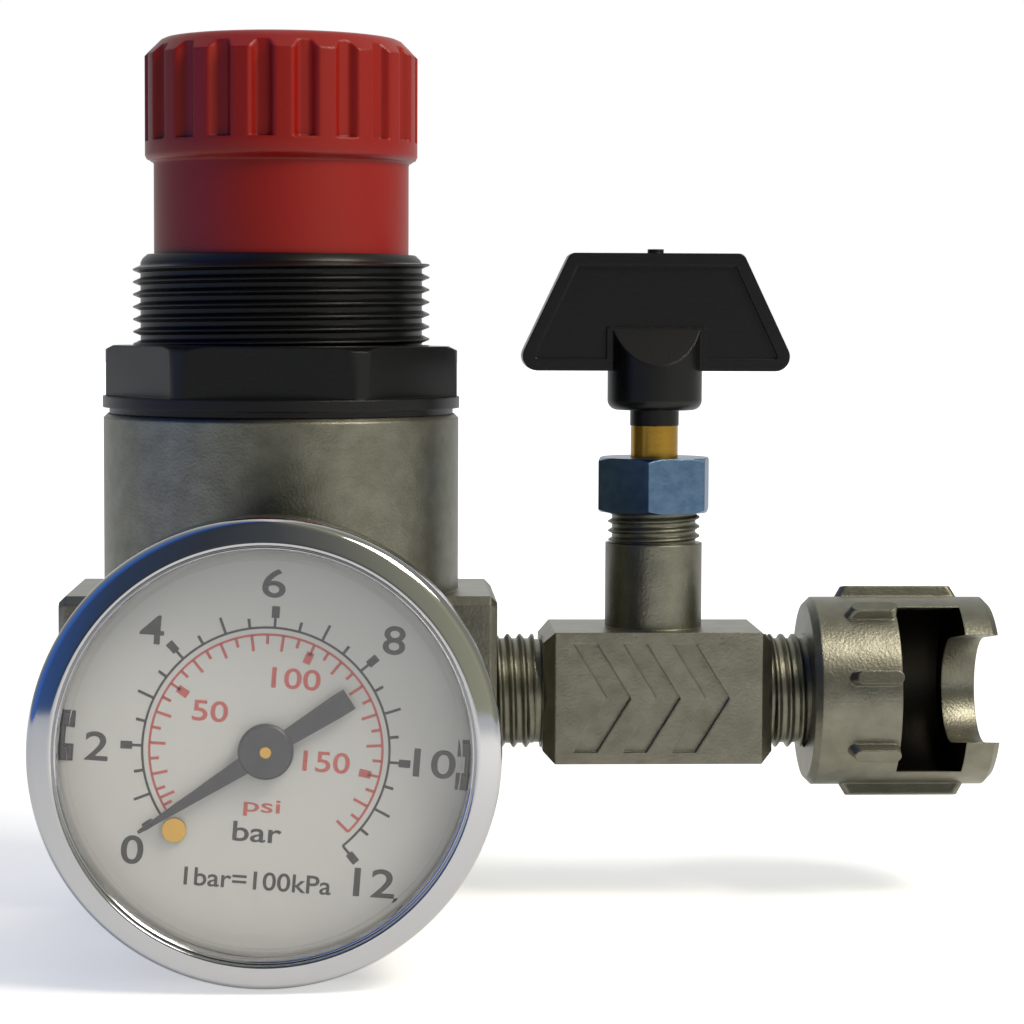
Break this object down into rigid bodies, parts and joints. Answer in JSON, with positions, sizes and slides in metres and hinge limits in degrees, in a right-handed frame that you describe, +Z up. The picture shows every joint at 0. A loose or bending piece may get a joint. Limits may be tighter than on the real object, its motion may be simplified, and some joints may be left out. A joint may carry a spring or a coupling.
{
  "type": "miniature pressure regulator",
  "caption": "Compressed air pressure regulator with fluted knob, threaded panel neck, dial gauge, shut-off valve with wing handle and slotted coupling nut.",
  "frame": {"origin": "on the regulator's own axis, on the top face of the bonnet's hexagon, where a panel lies", "axes": "+Z up the regulator's axis through the knob, -X out of the inlet port, -Y out of the gauge's face, +X towards the coupling nut"},
  "size_m": [0.1131, 0.0795, 0.1044],
  "materials": {
    "zinc_casting": "satin, as cast",
    "black_acetal": "moulded, semi-gloss",
    "red_plastic": "moulded, satin",
    "chrome_plate": "polished",
    "black_enamel": "black enamel",
    "clear_plastic": "clear",
    "dial_enamel": "printed, matt",
    "brass": "turned",
    "spring_steel": "drawn wire",
    "plated_steel": "zinc plated, bluish",
    "black_rubber": "moulded",
    "brown_rubber": "moulded",
    "packing_plastic": "PTFE"
  },
  "bodies": {
    "regulator": {"body": "zinc_casting", "bonnet": "black_acetal", "range_spring": "spring_steel", "slip_ring": "plated_steel", "diaphragm": "black_rubber", "valve_spring": "spring_steel", "bottom_plug": "black_acetal", "bottom_plug_gasket": "black_rubber", "rear_port_plug": "plated_steel", "gauge_socket": "brass", "bourdon_tube": "brass", "tube_tip_block": "brass", "movement_back_plate": "brass", "movement_front_plate": "brass", "hairspring": "spring_steel", "gauge_case": "black_enamel", "gauge_dial": "dial_enamel", "dial_screw": "brass", "gauge_window": "clear_plastic", "window_gasket": "black_rubber", "gauge_bezel": "chrome_plate", "valve_block": "zinc_casting", "gland_packing": "packing_plastic", "gland_nut": "plated_steel", "outlet_seal": "brown_rubber"},
    "spring_button": {"spring_button": "plated_steel"},
    "knob": {"knob": "red_plastic"},
    "diaphragm_centre": {"diaphragm_plate": "plated_steel", "relief_hub": "brass"},
    "poppet": {"valve_poppet": "brass", "poppet_seal": "black_rubber"},
    "pointer": {"gauge_pointer": "black_enamel", "pinion_shaft": "brass"},
    "sector": {"sector_gear": "brass", "sector_arbor": "plated_steel"},
    "link": {"gauge_link": "brass"},
    "valve_disc": {"seat_disc": "packing_plastic"},
    "handle": {"spindle": "brass", "wing_handle": "black_acetal"},
    "coupling": {"coupling_nut": "zinc_casting"}
  },
  "joints": [
    {"name": "knob_lift", "type": "slide", "parent": "regulator", "child": "spring_button", "axis": [0, 0, 1], "range_m": [-0.01, 0], "deforming": ["range_spring"]},
    {"name": "knob_turn", "type": "hinge", "parent": "spring_button", "child": "knob", "pos_m": [0, 0, 0], "axis": [0, 0, 1], "range_deg": [-1800, 0]},
    {"name": "diaphragm_travel", "type": "slide", "parent": "regulator", "child": "diaphragm_centre", "axis": [0, 0, 1], "range_m": [-0.0012, 0], "stiffness_N_per_m": 1500, "springref_m": 0.0003, "deforming": ["diaphragm", "valve_spring"]},
    {"name": "poppet_travel", "type": "slide", "parent": "regulator", "child": "poppet", "axis": [0, 0, 1], "range_m": [-0.0012, 0]},
    {"name": "pointer_turn", "type": "hinge", "parent": "regulator", "child": "pointer", "pos_m": [0, -0.05, -0.0424], "axis": [0, 1, 0], "range_deg": [0, 264.3], "stiffness_Nm_per_rad": 0.00001, "springref_deg": -57.3, "deforming": ["hairspring"]},
    {"name": "sector_swing", "type": "hinge", "parent": "regulator", "child": "sector", "pos_m": [0, -0.0405, -0.0568], "axis": [0, 1, 0], "range_deg": [-37.75, 0]},
    {"name": "link_swing", "type": "hinge", "parent": "sector", "child": "link", "pos_m": [0.00286, -0.0393, -0.06028], "axis": [0, 1, 0], "range_deg": [0, 37.8]},
    {"name": "valve_lift", "type": "slide", "parent": "regulator", "child": "valve_disc", "axis": [0, 0, 1], "range_m": [-0.003, 0]},
    {"name": "handle_turn", "type": "hinge", "parent": "valve_disc", "child": "handle", "pos_m": [0.0457, 0, 0], "axis": [0, 0, 1], "range_deg": [-1080, 0]},
    {"name": "coupling_turn", "type": "hinge", "parent": "regulator", "child": "coupling", "pos_m": [0.076, 0, -0.0424], "axis": [1, 0, 0], "range_deg": [-1260, 0]}
  ],
  "couplings": [
    {"joint": "knob_lift", "follows": "knob_turn", "m_per_rad": 0.0003183},
    {"joint": "poppet_travel", "follows": "diaphragm_travel", "ratio": 1},
    {"joint": "pointer_turn", "follows": "sector_swing", "ratio": -7},
    {"joint": "link_swing", "follows": "sector_swing", "ratio": -1},
    {"joint": "handle_turn", "follows": "valve_lift", "rad_per_m": 6283.1}
  ]
}
